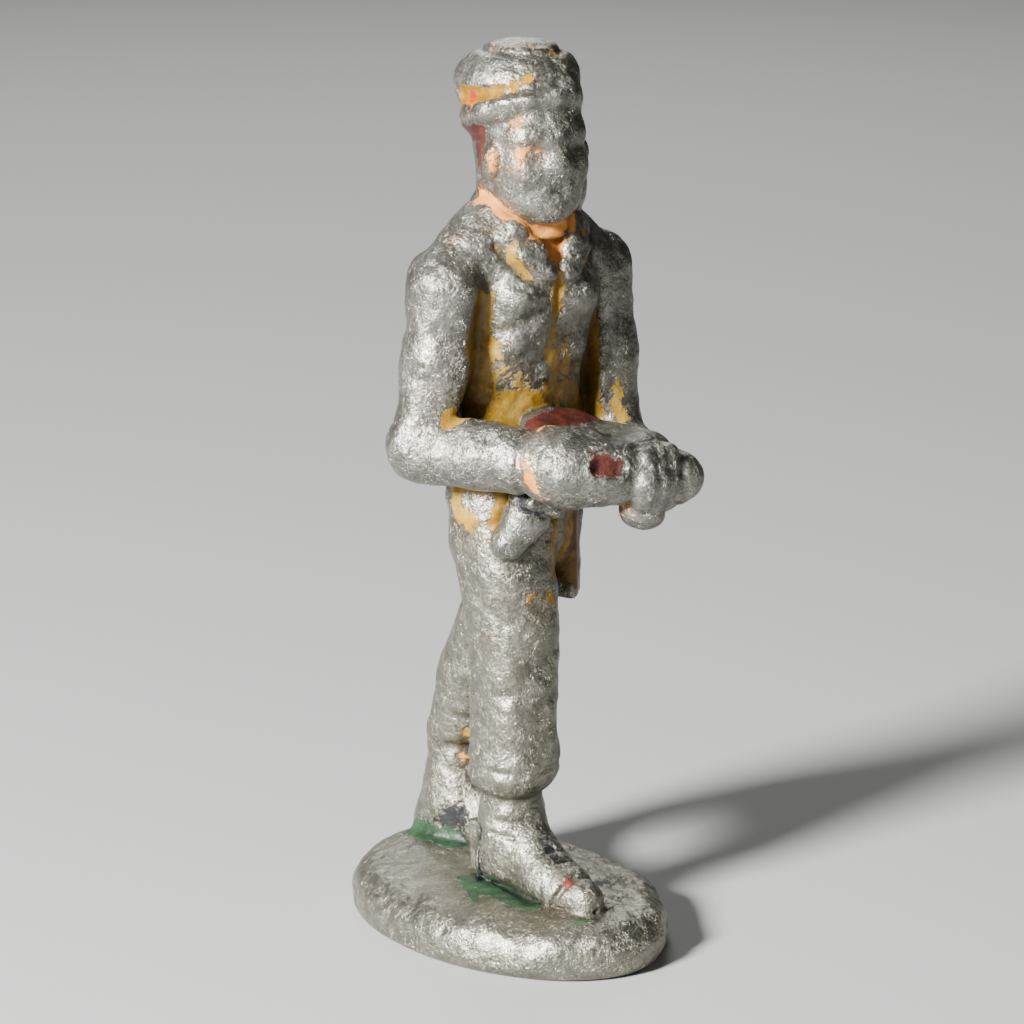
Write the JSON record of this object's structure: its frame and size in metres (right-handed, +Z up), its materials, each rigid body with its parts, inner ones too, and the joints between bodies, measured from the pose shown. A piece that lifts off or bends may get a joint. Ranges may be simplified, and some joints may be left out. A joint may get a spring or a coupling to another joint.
{
  "type": "toy figure",
  "caption": "Cast-metal toy figure with worn paint: a walking person in cap, jacket and trousers holds a bundle before the waist, on a low oval base.",
  "frame": {"origin": "middle of the base's flat underside", "axes": "+Z up through the figure to its cap; the figure walks and faces towards -Y; its right hand is on the -X side"},
  "size_m": [0.0249, 0.0334, 0.0764],
  "materials": {
    "base_finish": "rough cast bare metal with traces of dark green paint",
    "cap_finish": "rough cast bare metal with ochre paint left in the creases",
    "hair_finish": "rough cast bare metal with maroon brown paint left",
    "skin_finish": "rough cast bare metal with chips of flesh paint",
    "jacket_finish": "rough cast bare metal with ochre paint left in the folds",
    "trouser_finish": "rough cast bare metal with specks of ochre paint",
    "boot_finish": "rough cast bare metal with black paint chips",
    "bundle_finish": "rough cast bare metal with maroon paint left in its hollows",
    "kit_finish": "rough cast bare metal with ochre and black paint left"
  },
  "bodies": {
    "root": {"base": "base_finish", "cap_crown": "cap_finish", "cap_top": "cap_finish", "cap_visor": "cap_finish", "carried_bundle": "bundle_finish", "hair": "hair_finish", "head": "skin_finish", "heel_web": "boot_finish", "hip_pouch": "kit_finish", "holster": "kit_finish", "holster_flap": "kit_finish", "jacket_body": "jacket_finish", "left_collar": "jacket_finish", "left_ear": "skin_finish", "left_hand": "skin_finish", "left_shoe": "boot_finish", "left_sleeve": "jacket_finish", "left_trouser_leg": "trouser_finish", "leg_web": "trouser_finish", "neck": "skin_finish", "right_collar": "jacket_finish", "right_ear": "skin_finish", "right_hand": "skin_finish", "right_shoe": "boot_finish", "right_sleeve": "jacket_finish", "right_trouser_leg": "trouser_finish", "trousers_seat": "trouser_finish"}
  },
  "joints": []
}
